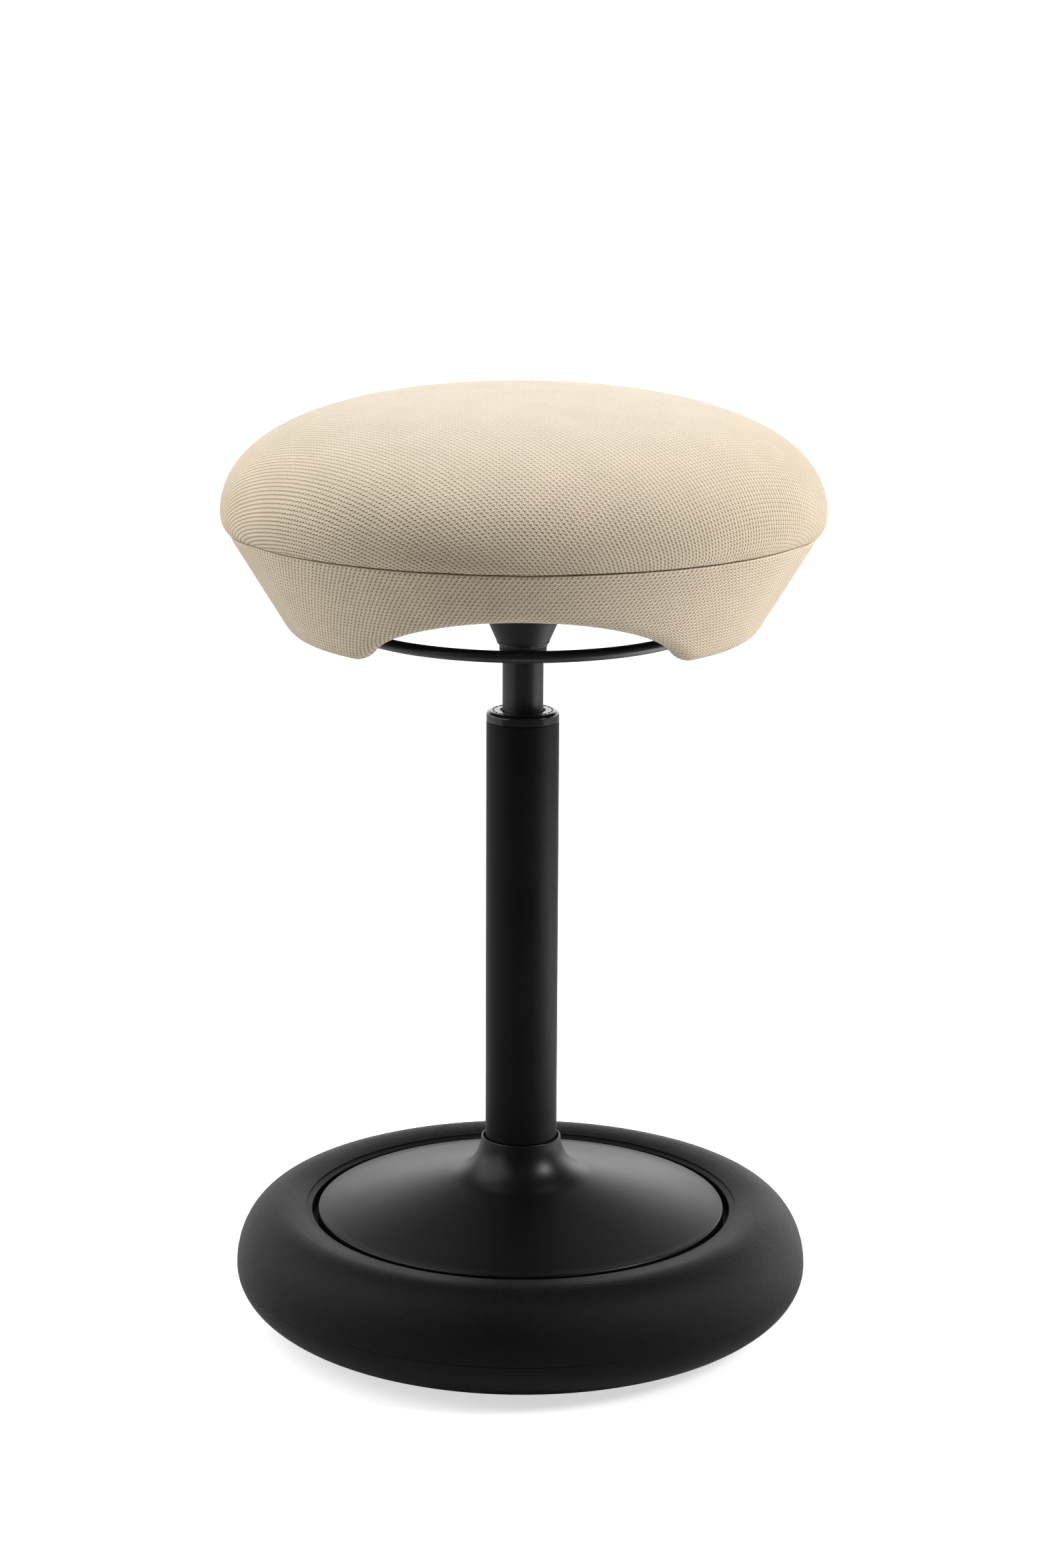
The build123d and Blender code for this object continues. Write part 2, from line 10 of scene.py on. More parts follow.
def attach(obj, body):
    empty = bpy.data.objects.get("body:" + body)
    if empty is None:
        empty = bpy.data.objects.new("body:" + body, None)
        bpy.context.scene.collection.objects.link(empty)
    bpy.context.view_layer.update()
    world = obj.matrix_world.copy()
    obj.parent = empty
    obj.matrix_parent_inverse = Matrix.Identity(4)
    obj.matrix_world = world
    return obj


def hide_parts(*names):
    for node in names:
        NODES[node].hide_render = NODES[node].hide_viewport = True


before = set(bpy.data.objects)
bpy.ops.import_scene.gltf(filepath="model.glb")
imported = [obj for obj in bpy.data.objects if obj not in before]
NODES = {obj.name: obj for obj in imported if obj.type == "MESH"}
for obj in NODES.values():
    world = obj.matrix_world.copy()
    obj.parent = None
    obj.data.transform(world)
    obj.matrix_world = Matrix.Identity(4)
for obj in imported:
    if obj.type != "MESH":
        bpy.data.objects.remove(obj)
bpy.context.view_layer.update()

MM = 0.001
scene = bpy.context.scene

# Sizes that the dressed pieces share with the solids, in millimetres
SEAM, CROWN = 559.5, 655.5                              # heights
SEAT_RADIUS, WIDEST = 204.3, 574.5                      # the cushion's side and its height
SEAM_RADIUS, HEM_RADIUS, HEM = 198.6, 156.9, 491.5
SKIRT_WALL = 18.0
SKIRT_SLOPE = (SEAM_RADIUS - HEM_RADIUS) / (SEAM - HEM)
ARCH_CENTRE, ARCH_HALF, ARCH_DEPTH = 482.5, 108.0, 46.3
BOARD_LOW, BOARD_TOP, BOARD_RADIUS = 541.5, 553.5, 176.0
COLLAR_RADIUS, COLLAR_TOP = 27.7, 130.8
RIM_RADIUS, RIM_TOP, SHELF = 142.6, 80.6, 70.0
COVER_WALL = 1.6
WELD_LOW, WELD_TOP = 480.6, 485.2
BUSH_TOP = 436.0

STITCH, ROW = 4.1 * MM, 2.25 * MM    # width and height of a knitted loop
SLANT = radians(29.0)                # its strands, down to the right


# Nodes of a shader tree

class Bench:
    """Adds nodes to one tree and joins their sockets."""

    def __init__(self, tree):
        self.tree = tree

    def add(self, kind, **settings):
        node = self.tree.nodes.new(kind)
        for name, value in settings.items():
            setattr(node, name, value)
        return node

    def feed(self, socket, value):
        if isinstance(value, bpy.types.NodeSocket):
            self.tree.links.new(value, socket)
        elif value is not None:
            socket.default_value = value

    def math(self, operation, a, b=None, c=None):
        node = self.add("ShaderNodeMath", operation=operation)
        for socket, value in zip(node.inputs, (a, b, c)):
            self.feed(socket, value)
        return node.outputs[0]

    def steps(self, value, low, high, to_low=0.0, to_high=1.0):
        """Smooth step of a value between two limits."""
        node = self.add("ShaderNodeMapRange", interpolation_type="SMOOTHSTEP")
        for socket, given in zip(node.inputs, (value, low, high, to_low, to_high)):
            self.feed(socket, given)
        return node.outputs[0]

    def mix(self, factor, a, b, blend="MIX"):
        node = self.add("ShaderNodeMix", data_type="RGBA", blend_type=blend)
        self.feed(node.inputs["Factor"], factor)
        self.feed(node.inputs[6], a)
        self.feed(node.inputs[7], b)
        return node.outputs[2]

    def place(self):
        return self.add("ShaderNodeTexCoord").outputs["Object"]

    def group(self, tree, **inputs):
        node = self.add("ShaderNodeGroup", node_tree=tree)
        for name, value in inputs.items():
            self.feed(node.inputs[name], value)
        return node.outputs

    def noise(self, vector, scale, detail=2.0, roughness=0.5):
        node = self.add("ShaderNodeTexNoise")
        self.feed(node.inputs["Vector"], vector)
        self.feed(node.inputs["Scale"], scale)
        self.feed(node.inputs["Detail"], detail)
        self.feed(node.inputs["Roughness"], roughness)
        return node.outputs["Fac"]

    def cells(self, vector, scale, feature="F1"):
        node = self.add("ShaderNodeTexVoronoi", feature=feature)
        self.feed(node.inputs["Vector"], vector)
        self.feed(node.inputs["Scale"], scale)
        return node.outputs["Distance"]


def new_group(name, inputs, outputs):
    """Empty node group with its sockets, as a bench, its inputs and its output node."""
    tree = bpy.data.node_groups.new(name, "ShaderNodeTree")
    for label, kind, value in inputs:
        socket = tree.interface.new_socket(label, in_out="INPUT", socket_type=kind)
        if value is not None:
            socket.default_value = value
    for label, kind in outputs:
        tree.interface.new_socket(label, in_out="OUTPUT", socket_type=kind)
    bench = Bench(tree)
    return bench, bench.add("NodeGroupInput").outputs, bench.add("NodeGroupOutput").inputs


FLOAT, VECTOR = "NodeSocketFloat", "NodeSocketVector"


def knit_group():
    """Slanted pairs of strands, each ending in a small hole, with a thread laid across the rows.

    The vector is a flat map in metres.
    """
    bench, given, result = new_group(
        "knit loops",
        [("Vector", VECTOR, None), ("Pitch", FLOAT, 0.004), ("Row", FLOAT, 0.0023), ("Open", FLOAT, 0.5)],
        [("Hole", FLOAT), ("Loop", FLOAT), ("Height", FLOAT)],
    )

    def wave(turns):
        """Cosine of a number of turns, from 0 to 1."""
        return bench.math("MULTIPLY_ADD", bench.math("COSINE", bench.math("MULTIPLY", turns, 2 * pi)), 0.5, 0.5)

    split = bench.add("ShaderNodeSeparateXYZ")
    bench.feed(split.inputs[0], given["Vector"])
    unevenness = 0.8 * MM
    wander = bench.math("MULTIPLY", bench.math("SUBTRACT", bench.noise(given["Vector"], 240.0), 0.5), unevenness)
    across = bench.math("DIVIDE", bench.math("ADD", split.outputs[0], wander), given["Pitch"])
    down = bench.math("DIVIDE", bench.math("ADD", split.outputs[1], wander), given["Row"])
    rows = bench.math("SUBTRACT", bench.math("FRACT", down), 0.5)
    shifted = bench.math("MULTIPLY_ADD", bench.math("FLOOR", down), 0.5, across)
    cells = bench.math("SUBTRACT", bench.math("FRACT", shifted), 0.5)
    x, y = bench.math("MULTIPLY", cells, given["Pitch"]), bench.math("MULTIPLY", rows, given["Row"])
    along = bench.math("MULTIPLY_ADD", x, cos(SLANT), bench.math("MULTIPLY", y, -sin(SLANT)))
    aside = bench.math("MULTIPLY_ADD", x, sin(SLANT), bench.math("MULTIPLY", y, cos(SLANT)))
    spread = bench.math("MULTIPLY_ADD", given["Open"], 0.35, 0.75)

    def oval(centre, length, width):
        """Dark oval along the strands, soft at its edge."""
        far = bench.math("DIVIDE", bench.math("SUBTRACT", along, centre), length)
        off = bench.math("DIVIDE", aside, width)
        size = bench.math("SQRT", bench.math("ADD", bench.math("POWER", far, 2.0), bench.math("POWER", off, 2.0)))
        return bench.steps(bench.math("DIVIDE", size, spread), 0.35, 1.15, 1.0, 0.0)

    slit = bench.math("MULTIPLY", oval(0.0, 1.4 * MM, 0.46 * MM), 0.75)
    hole = bench.math("MAXIMUM", slit, oval(0.75 * MM, 0.7 * MM, 0.6 * MM))
    strands = bench.math("SUBTRACT", 1.0, wave(bench.math("MULTIPLY", bench.math("ADD", across, down), 2.0)))
    crossing = bench.math("SUBTRACT", bench.math("MULTIPLY_ADD", down, -1.5, across), 0.25)
    thread = bench.math("POWER", wave(crossing), 2.0)
    loop = bench.math("MAXIMUM", bench.math("MULTIPLY", strands, 0.9), thread)
    height = bench.math("SUBTRACT", bench.math("MULTIPLY", loop, bench.math("SUBTRACT", 1.0, hole)), hole)
    bench.feed(result["Hole"], hole)
    bench.feed(result["Loop"], loop)
    bench.feed(result["Height"], height)
    return bench.tree


def grain_group():
    """Moulded or sprayed grain: pebbles with creases between them, and cloudy tone."""
    bench, given, result = new_group(
        "surface grain",
        [("Vector", VECTOR, None), ("Scale", FLOAT, 900.0), ("Cloud", FLOAT, 14.0)],
        [("Height", FLOAT), ("Tone", FLOAT), ("Speck", FLOAT)],
    )
    fine = bench.math("MULTIPLY", given["Scale"], 2.7)
    pebble = bench.cells(given["Vector"], given["Scale"])
    crease = bench.noise(given["Vector"], fine, 3.0, 0.6)
    height = bench.math("MULTIPLY_ADD", pebble, -0.7, crease)
    tone = bench.noise(given["Vector"], given["Cloud"], 4.0, 0.55)
    dust_and_glint = bench.cells(given["Vector"], bench.math("MULTIPLY", given["Cloud"], 9.0))
    bench.feed(result["Height"], height)
    bench.feed(result["Tone"], tone)
    bench.feed(result["Speck"], bench.steps(dust_and_glint, 0.02, 0.05, 1.0, 0.0))
    return bench.tree


def streak_group():
    """Fine lines left by drawing or grinding, along one axis."""
    bench, given, result = new_group(
        "drawn streaks",
        [("Vector", VECTOR, None), ("Along", VECTOR, (1.0, 1.0, 0.02)), ("Scale", FLOAT, 900.0)],
        [("Line", FLOAT), ("Cloud", FLOAT)],
    )
    squeeze = bench.add("ShaderNodeVectorMath", operation="MULTIPLY")
    bench.feed(squeeze.inputs[0], given["Vector"])
    bench.feed(squeeze.inputs[1], given["Along"])
    bench.feed(result["Line"], bench.noise(squeeze.outputs[0], given["Scale"], 3.0, 0.6))
    bench.feed(result["Cloud"], bench.noise(given["Vector"], 26.0, 3.0))
    return bench.tree


KNIT, GRAIN, STREAK = knit_group(), grain_group(), streak_group()


def new_material(name, **settings):
    """Material with one shader; constant values go on the shader's own sockets."""
    material = bpy.data.materials.new(name)
    material.use_nodes = True
    bench = Bench(material.node_tree)
    shader = material.node_tree.nodes["Principled BSDF"]
    for label, value in settings.items():
        shader.inputs[label.replace("_", " ").title().replace("Ior", "IOR")].default_value = value
    return material, bench, shader


def bump(bench, shader, height, depth, strength=1.0):
    """Relief of a given depth on the shader's normal."""
    node = bench.add("ShaderNodeBump")
    node.inputs["Strength"].default_value = strength
    node.inputs["Distance"].default_value = depth
    bench.feed(node.inputs["Height"], height)
    bench.feed(shader.inputs["Normal"], node.outputs[0])


def rgb(*colour):
    return (*colour, 1.0)


def shaded(colour, share):
    """The colour, darker or lighter."""
    return rgb(*(min(1.0, share * part) for part in colour))


def knit(name, yarn, drawn_yarn, ground_and_hole_shade):
    """Knitted upholstery on the piece's own flat map; drawn tight, the loops open. The dark holes and the darker
    lines between the strands are partly the dark ground and partly painted shade, deeper on the sides than on the lit
    crown.
    """
    material, bench, shader = new_material(name, roughness=0.9, specular_ior_level=0.15)
    flat = bench.add("ShaderNodeUVMap", uv_map="weave").outputs[0]
    # The stretch weight: how far the cloth is drawn, and also how deep the painted shade is on the sides.
    stretch_and_shade = bench.add("ShaderNodeAttribute", attribute_name="stretch_and_shade").outputs["Fac"]
    loops = bench.group(KNIT, Vector=flat, Pitch=STITCH, Row=ROW, Open=stretch_and_shade)
    # Painted light: by the stretch weight the yarn goes from its pale crown tone to a deeper side tone, and the gaps
    # between the strands darken as painted shade.
    high = bench.mix(stretch_and_shade, rgb(*yarn), rgb(*drawn_yarn))
    low = bench.mix(stretch_and_shade, shaded(yarn, 0.76), shaded(drawn_yarn, 0.36))
    thread = bench.mix(bench.steps(loops["Loop"], 0.05, 0.75), low, high)
    cloud = bench.steps(bench.noise(flat, 30.0, 3.0), 0.3, 0.7, 0.0, 0.05)
    toned = bench.mix(cloud, thread, rgb(*ground_and_hole_shade))
    # Painted shade in the holes, over the ground's own dark tone, deeper with the stretch weight on the sides.
    hole_shade = bench.math("MULTIPLY", loops["Hole"], bench.math("MULTIPLY_ADD", stretch_and_shade, 0.45, 0.5))
    bench.feed(shader.inputs["Base Color"], bench.mix(hole_shade, toned, rgb(*ground_and_hole_shade)))
    bump(bench, shader, loops["Height"], 0.45 * MM, 0.8)
    return material


# Light specks, partly dust and partly painted glints on the grain.
DUST_AND_GLINT = rgb(0.35, 0.35, 0.35)


def coated(name, colour, rough, spread, grain_scale, grain_depth, cloud=14.0, dust_and_glint=0.0, **settings):
    """Black finish with grain, cloudy gloss and light specks, partly dust and partly painted glints."""
    material, bench, shader = new_material(name, **settings)
    place = bench.place()
    grain = bench.group(GRAIN, Vector=place, Scale=grain_scale, Cloud=cloud)
    bench.feed(shader.inputs["Roughness"], bench.steps(grain["Tone"], 0.2, 0.8, rough - spread, rough + spread))
    toned = bench.mix(bench.steps(grain["Tone"], 0.35, 0.75), rgb(*colour), shaded(colour, 1.6))
    # Light specks mixed in: partly dust, partly painted glints.
    dust_and_glint_specks = bench.math("MULTIPLY", grain["Speck"], dust_and_glint)
    bench.feed(shader.inputs["Base Color"], bench.mix(dust_and_glint_specks, toned, DUST_AND_GLINT))
    bump(bench, shader, grain["Height"], grain_depth)
    return material


def drawn(name, colour, rough, along, scale=900.0, **settings):
    """Bare or painted metal with drawing lines."""
    material, bench, shader = new_material(name, **settings)
    place = bench.place()
    streak = bench.group(STREAK, Vector=place, Along=along, Scale=scale)
    bench.feed(shader.inputs["Base Color"], bench.mix(streak["Cloud"], shaded(colour, 0.75), rgb(*colour)))
    bench.feed(shader.inputs["Roughness"], bench.steps(streak["Line"], 0.25, 0.75, rough - 0.08, rough + 0.08))
    bump(bench, shader, streak["Line"], 0.01 * MM)
    return material


def plywood():
    """Pale faces with a grain along X, and darker glue lines between the plies."""
    material, bench, shader = new_material("birch plywood", roughness=0.6)
    place = bench.place()
    streak = bench.group(STREAK, Vector=place, Along=(0.06, 1.0, 1.0), Scale=420.0)
    plies = bench.add("ShaderNodeTexWave", bands_direction="Z")
    bench.feed(plies.inputs["Vector"], place)
    plies.inputs["Scale"].default_value = 130.0
    plies.inputs["Distortion"].default_value = 0.4
    face = bench.mix(streak["Line"], rgb(0.62, 0.44, 0.26), rgb(0.78, 0.62, 0.42))
    edges = bench.math("MULTIPLY", plies.outputs["Fac"], 0.45)
    bench.feed(shader.inputs["Base Color"], bench.mix(edges, face, rgb(0.42, 0.27, 0.14)))
    bump(bench, shader, streak["Line"], 0.05 * MM)
    return material


# The third colour is the knit's dark ground, which also serves as painted shade in the holes.
SAND_KNIT = knit("sand knit", (0.80, 0.705, 0.575), (0.95, 0.805, 0.60), (0.085, 0.06, 0.035))
TUBE_BLACK = coated(
    "column satin black", (0.0035, 0.0035, 0.0036), 0.4, 0.03, 2600.0, 0.004 * MM, specular_ior_level=0.10
)
LIFT_BLACK = drawn("pressure tube black", (0.016, 0.016, 0.0165), 0.38, (1.0, 1.0, 0.02))
COVER_BLACK = coated(
    "cover satin black", (0.002, 0.002, 0.0021), 0.37, 0.02, 2400.0, 0.004 * MM, dust_and_glint=0.2, specular_ior_level=0.25
)
FOOT_BLACK = coated(
    "grained black rubber", (0.002, 0.002, 0.0021), 0.42, 0.04, 900.0, 0.22 * MM, dust_and_glint=0.1, specular_ior_level=0.115
)
BUSH_BLACK = coated("glossy black bush", (0.010, 0.010, 0.0105), 0.16, 0.03, 1500.0, 0.004 * MM)
RING_BLACK = coated("semi-gloss ring black", (0.010, 0.010, 0.0105), 0.38, 0.03, 1800.0, 0.008 * MM)
HUB_BLACK = coated("dipped hub black", (0.005, 0.005, 0.0052), 0.42, 0.06, 1300.0, 0.02 * MM, specular_ior_level=0.2)
PANEL_BLACK = coated("panel grain black", (0.020, 0.020, 0.021), 0.6, 0.05, 700.0, 0.08 * MM)
SEAL_BLACK = coated("seal rubber", (0.018, 0.018, 0.018), 0.55, 0.05, 1200.0, 0.03 * MM)
PLAIN_STEEL = drawn("plain steel", (0.52, 0.52, 0.53), 0.34, (0.03, 1.0, 1.0), metallic=1.0)
ZINC = drawn("zinc plate", (0.62, 0.62, 0.60), 0.28, (1.0, 1.0, 0.1), 1400.0, metallic=1.0)
CAGE = coated("cage nylon", (0.62, 0.59, 0.50), 0.45, 0.05, 1200.0, 0.02 * MM)
PLYWOOD = plywood()

FINISHES = [
    (TUBE_BLACK, ["column_tube"]),
    (LIFT_BLACK, ["gas_cylinder"]),
    (FOOT_BLACK, ["foot_ring"]),
    (BUSH_BLACK, ["guide_bush", "valve_pin"]),
    (RING_BLACK, ["lever_ring", "lever_spokes", "release_plate"]),
    (HUB_BLACK, ["hub_cone", "hub_sleeve"]),
    (PANEL_BLACK, ["under_panel"]),
    (SEAL_BLACK, ["piston_seal", "rod_seal", "buffer"]),
    (CAGE, ["ball_cage"]),
    (PLYWOOD, ["seat_board"]),
    (ZINC, ["base_screws", "seat_bolts", "tee_nuts", "panel_screws", "bearing_balls"]),
    (PLAIN_STEEL, ["base_plate", "column_socket", "tube_floor", "seat_plate", "fulcrum_bracket", "fulcrum_pin"]),
    (PLAIN_STEEL, ["piston_rod", "piston", "rod_clip", "lower_race", "upper_race", "rod_guide", "valve_body"]),
]
for finish, names in FINISHES:
    for name in names:
        NODES[name].data.materials.clear()
        NODES[name].data.materials.append(finish)


# Meshes of the new pieces

def finished(bm, name, body, finish, stands_for=(), smooth=True):
    """Object from a bmesh, riding on its body and standing for its solids."""
    for face in bm.faces:
        face.smooth = smooth
    mesh = bpy.data.meshes.new(name)
    bm.to_mesh(mesh)
    bm.free()
    mesh.materials.append(finish)
    piece = bpy.data.objects.new(name, mesh)
    scene.collection.objects.link(piece)
    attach(piece, body)
    if stands_for:
        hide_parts(*stands_for)
    return piece


def subdivided(piece):
    """The piece with one level of subdivision."""
    modifier = piece.modifiers.new("rounding", "SUBSURF")
    modifier.levels = 1
    modifier.render_levels = 1
    return piece


def run_of(*knots, points=8):
    """Points along Bezier spans given as (start, handle, handle, end) of radius and height in millimetres."""
    found = []
    for start, first, second, end in knots:
        corners = [Vector((radius, 0.0, height)) for radius, height in (start, first, second, end)]
        span = interpolate_bezier(*corners, points)
        found += span if not found else span[1:]
    return found


def length_of(run):
    return sum((b - a).length for a, b in zip(run, run[1:]))


def spun(outline, steps, closed):
    """Turns an outline (millimetres) about the column's axis; each vertex keeps its distance along the outline."""
    bm = bmesh.new()
    reach = bm.verts.layers.float.new("reach")
    along, last, verts = 0.0, outline[0], []
    for point in outline:
        along += (point - last).length
        last = point
        vert = bm.verts.new(point * MM)
        vert[reach] = along
        verts.append(vert)
    pairs = list(zip(verts, verts[1:]))
    if closed:
        pairs.append((verts[-1], verts[0]))
    edges = [bm.edges.new(pair) for pair in pairs]
    bmesh.ops.spin(
        bm, geom=verts + edges, cent=(0, 0, 0), axis=(0, 0, 1), angle=2 * pi, steps=steps, use_merge=True
    )
    bmesh.ops.remove_doubles(bm, verts=bm.verts, dist=1e-6)
    bmesh.ops.recalc_face_normals(bm, faces=bm.faces)
    return bm, reach


def lay_cloth(bm, stretched_and_shaded, flat):
    """Keeps how far the cloth is drawn at each vertex, a weight that also deepens the knit's painted shade, and its
    flat map in metres at each face's corners.
    """
    stretch_and_shade = bm.verts.layers.float.new("stretch_and_shade")
    weave = bm.loops.layers.uv.new("weave")
    for vert in bm.verts:
        vert[stretch_and_shade] = stretched_and_shaded(vert)
    for face in bm.faces:
        for loop, place in zip(face.loops, flat(face)):
            loop[weave].uv = place


def eased(value):
    """Smooth step from 0 to 1."""
    value = max(0.0, min(1.0, value))
    return value * value * (3.0 - 2.0 * value)


def seam_lift(angle):
    """How far the seam is drawn up towards the front and back, above the arches."""
    most = 3.6
    return most * eased((abs(sin(angle)) - 0.06) / 0.45)


def swollen(piece, held, limit):
    """Swells a closed piece as cloth under air pressure; held points stay, and no point goes past the limit."""
    pressure, steps = 4.0, 20
    mesh = piece.data
    start = [vert.co.copy() for vert in mesh.vertices]
    pins = piece.vertex_groups.new(name="held")
    for index, grip in enumerate(held):
        pins.add([index], grip, "REPLACE")
    air = piece.modifiers.new("air", "CLOTH")
    air.settings.vertex_group_mass = "held"
    air.settings.use_pressure = True
    air.settings.uniform_pressure_force = pressure
    air.settings.effector_weights.gravity = 0.0
    air.collision_settings.use_collision = False
    for step in range(1, steps + 1):
        scene.frame_set(step)
    blown = piece.evaluated_get(bpy.context.evaluated_depsgraph_get()).data
    moves = [there.co - home for there, home in zip(blown.vertices, start)]
    piece.modifiers.remove(air)
    piece.vertex_groups.remove(pins)
    scene.frame_set(1)
    for vert, home, move in zip(mesh.vertices, start, moves):
        vert.co = home + move * min(1.0, limit / max(move.length, 1e-9))
    mesh.update()


def cushion():
    """Crowned cushion: tucks in to the seam below, rolls over the side and rises to a low crown."""
    crown_reach, side_reach = 160.0, 39.0
    crown = run_of(
        ((0.0, CROWN), (crown_reach, CROWN), (SEAT_RADIUS, WIDEST + side_reach), (SEAT_RADIUS, WIDEST)),
        points=34,
    )
    crown_length = length_of(crown)
    tuck = run_of(
        ((SEAT_RADIUS, WIDEST), (SEAT_RADIUS, WIDEST - 7.0), (202.2, SEAM + 4.4), (199.2, SEAM + 1.0)),
        ((199.2, SEAM + 1.0), (198.6, SEAM + 0.3), (197.0, SEAM + 0.1), (BOARD_RADIUS + 4.0, SEAM + 0.1)),
        points=9,
    )
    under = [Vector((BOARD_RADIUS - 1.0, 0.0, SEAM + 0.2)), Vector((BOARD_RADIUS - 3.0, 0.0, BOARD_TOP + 0.2))]
    under += [Vector((radius, 0.0, BOARD_TOP + 0.2)) for radius in (120.0, 60.0, 0.0)]
    bm, reach = spun(crown + tuck[1:] + under, 128, False)

    def stretched_and_shaded(vert):
        """Slack on the crown and drawn tight over the side; the same weight deepens the knit's painted shade on the
        side and keeps the crown pale.
        """
        return max(0.0, min(1.0, (vert[reach] / crown_length - 0.45) / 0.5))

    def flat(face):
        """Rows run left to right, as on a sheet drawn over the form."""
        for vert in face.verts:
            radius, angle = vert[reach] * MM, atan2(vert.co.y, vert.co.x)
            yield radius * cos(angle), radius * sin(angle)

    lay_cloth(bm, stretched_and_shaded, flat)
    held = []
    for vert in bm.verts:
        angle = atan2(vert.co.y, vert.co.x)
        z = vert.co.z / MM
        outside = sqrt(vert.co.x**2 + vert.co.y**2) / MM > BOARD_RADIUS + 2.0
        lift = seam_lift(angle) * eased((WIDEST + 16.0 - z) / (WIDEST + 12.0 - SEAM)) if outside else 0.0
        near_seam = max(0.0, 1.0 - abs(z - SEAM - 6.0) / 14.0)
        pucker = noise.noise(Vector((9.0 * cos(angle), 9.0 * sin(angle), 0.3)))
        swell = noise.noise(vert.co * 9.0)
        held.append(1.0 - eased((z - SEAM - 4.0) / 12.0))
        vert.co += vert.normal * MM * (0.5 * near_seam * pucker + 0.35 * swell) + Vector((0, 0, lift * MM))
    piece = finished(bm, "cushion", "seat", SAND_KNIT, ("cushion_cover", "cushion_foam"))
    swollen(piece, held, 2.0 * MM)
    return subdivided(piece)


def lower_edge(x):
    """Height of the skirt's lower edge: the hem, drawn up to an arch at the front and back."""
    inside = max(0.0, 1.0 - (x / ARCH_HALF) ** 2)
    arch = ARCH_CENTRE + ARCH_DEPTH * sqrt(inside)
    blend = 5.0
    near = max(blend - abs(arch - HEM), 0.0) / blend
    return max(arch, HEM) + near * near * blend / 4


def skirt():
    """Tapered padded ring with its lower edge drawn up at the front and back."""
    hem_out, hem_in = HEM_RADIUS - 7.0, HEM_RADIUS - SKIRT_WALL    # flat of the lower edge
    # The third value is how far the skirt's knit is drawn, and also how deep its painted shade in the holes and gaps
    # is.
    stitch_width, row_scale, drawn_tight_and_shade = 3.2, 0.82, 0.85

    def outer(z):
        return SEAM_RADIUS - SKIRT_SLOPE * (SEAM - z)

    top = run_of(
        ((BOARD_RADIUS + 1.0, SEAM - 0.2), (186.0, SEAM - 0.2), (192.0, SEAM - 0.2), (196.2, SEAM - 0.3)),
        (
            (196.2, SEAM - 0.3),
            (198.4, SEAM - 0.6),
            (outer(SEAM - 3.0), SEAM - 3.0),
            (outer(SEAM - 6.5), SEAM - 6.5),
        ),
        points=6,
    )
    slope = [Vector((outer(z), 0.0, z)) for z in (548.0, 543.0, 537.0, 531.0, 525.0, 519.0, 513.0, 507.0, 502.0)]
    hem = run_of(
        ((outer(498.5), 498.5), (outer(494.5), 494.5), (HEM_RADIUS - 2.6, HEM), (hem_out, HEM)),
        ((hem_out, HEM), (hem_in + 2.0, HEM), (hem_in + 0.5, 493.5), (outer(497.0) - SKIRT_WALL, 497.0)),
        points=7,
    )
    inside = [Vector((outer(z) - SKIRT_WALL, 0.0, z)) for z in (502.0, 510.0, 520.0, 530.0, 540.0)]
    inside += [Vector((BOARD_RADIUS + 1.0, 0.0, BOARD_LOW + 1.5))]
    bm, reach = spun(top + slope + hem + inside, 360, True)
    wall_start = length_of(top)
    wall_end = wall_start + (slope[0] - slope[-1]).length
    held = []
    for vert in bm.verts:
        angle = atan2(vert.co.y, vert.co.x)
        z = vert.co.z / MM
        wall = (vert[reach] - wall_start) / (wall_end - wall_start)
        held.append(1.0 - eased(5.0 * min(wall, 1.0 - wall)))
        share = max(0.0, min(1.0, (SEAM - 4.0 - z) / (SEAM - 4.0 - HEM - 7.0)))
        edge = HEM
        for _ in range(4):
            edge = lower_edge((outer(edge) - SKIRT_WALL / 4) * cos(angle))
        rise = (edge - HEM) * share
        radius = sqrt(vert.co.x**2 + vert.co.y**2) / MM + SKIRT_SLOPE * rise
        radius += 0.4 * noise.noise(vert.co * 14.0) * share
        rise += seam_lift(angle) * eased((z - HEM - 10.0) / (SEAM - 8.0 - HEM - 10.0))
        vert.co = Vector((radius * cos(angle), radius * sin(angle), z + rise)) * MM
        vert[reach] -= rise * sqrt(1.0 + SKIRT_SLOPE**2)

    stitches = round(2 * pi * outer((SEAM + HEM) / 2) / stitch_width)

    def flat(face):
        """Rows follow the seam, as on a strip wrapped round the form, with a whole number of stitches to the turn."""
        turns = [atan2(vert.co.x, -vert.co.y) / (2 * pi) for vert in face.verts]
        across_back = max(turns) - min(turns) > 0.5
        for vert, turn in zip(face.verts, turns):
            if across_back and turn < 0.0:
                turn += 1.0
            yield turn * stitches * STITCH, row_scale * vert[reach] * MM

    lay_cloth(bm, lambda vert: drawn_tight_and_shade, flat)
    piece = finished(bm, "skirt", "seat", SAND_KNIT, ("skirt_cover", "skirt_foam"))
    swollen(piece, held, 0.8 * MM)
    return subdivided(piece)


def weld():
    """Uneven fillet weld from the sleeve out to the foot of the hub cone."""
    low, high, bore = WELD_LOW, WELD_TOP, 15.9
    outline = run_of(
        ((bore, low), (16.5, low), (16.6, low + 0.9), (16.9, low + 1.5)),
        ((16.9, low + 1.5), (17.3, low + 2.3), (18.1, high - 2.4), (18.2, high - 1.2)),
        ((18.2, high - 1.2), (18.3, high - 0.5), (18.3, high), (17.4, high)),
        points=6,
    )
    outline.append(Vector((bore, 0.0, high)))
    bm, _ = spun(outline, 200, True)
    for vert in bm.verts:
        angle = atan2(vert.co.y, vert.co.x)
        lump = noise.noise(Vector((11.0 * cos(angle), 11.0 * sin(angle), vert.co.z * 420.0)))
        drift = noise.noise(Vector((4.0 * cos(angle), 4.0 * sin(angle), 0.6)))
        outward = Vector((cos(angle), sin(angle), 0.0))
        vert.co += (outward * 0.34 * lump + Vector((0, 0, 0.5 * drift + 0.2 * lump))) * MM
    return finished(bm, "weld", "seat", HUB_BLACK, ("weld_bead",))


